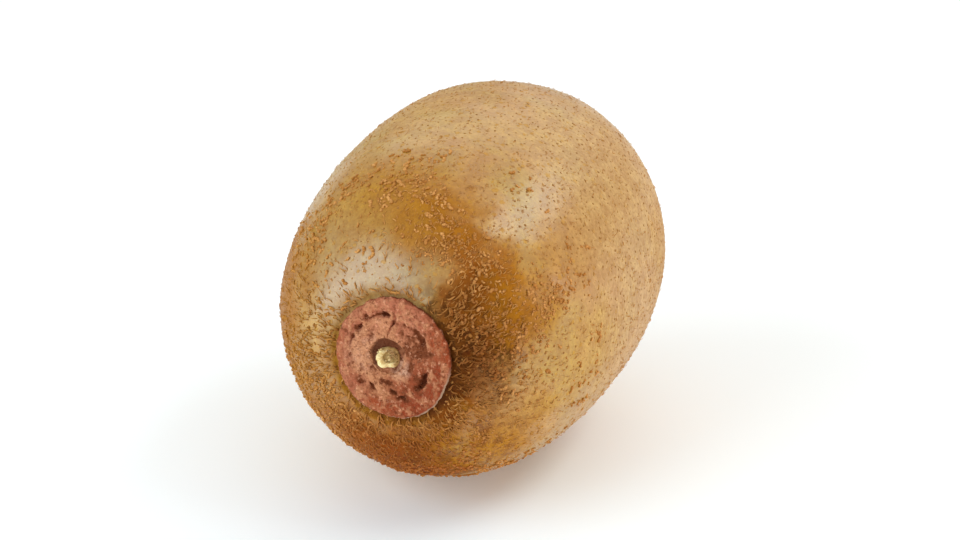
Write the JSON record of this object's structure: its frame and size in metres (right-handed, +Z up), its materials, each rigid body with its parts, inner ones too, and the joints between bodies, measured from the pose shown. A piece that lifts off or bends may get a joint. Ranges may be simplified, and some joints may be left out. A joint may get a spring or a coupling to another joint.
{
  "type": "golden kiwi fruit",
  "caption": "Whole golden kiwi fruit, oval, smooth bronze skin with fine down, lying on its side, with its dried calyx, stalk stub and styles.",
  "frame": {"origin": "under the middle of the whole fruit, on the plane that it rests on", "axes": "+Z up, +Y along the fruit's long axis from the stem end to the blossom end, +X to its side"},
  "size_m": [0.0492, 0.071, 0.05],
  "materials": {
    "skin": "thin golden-bronze fruit skin, soft sheen, fine pale specks and short down",
    "calyx": "dry reddish-brown cork with a felted surface and dark cracks",
    "stalk": "dry cream-yellow broken stalk",
    "styles": "dry dark brown threads"
  },
  "bodies": {
    "root": {"fruit": "skin", "calyx": "calyx", "stalk_stub": "stalk", "styles": "styles"}
  },
  "joints": []
}
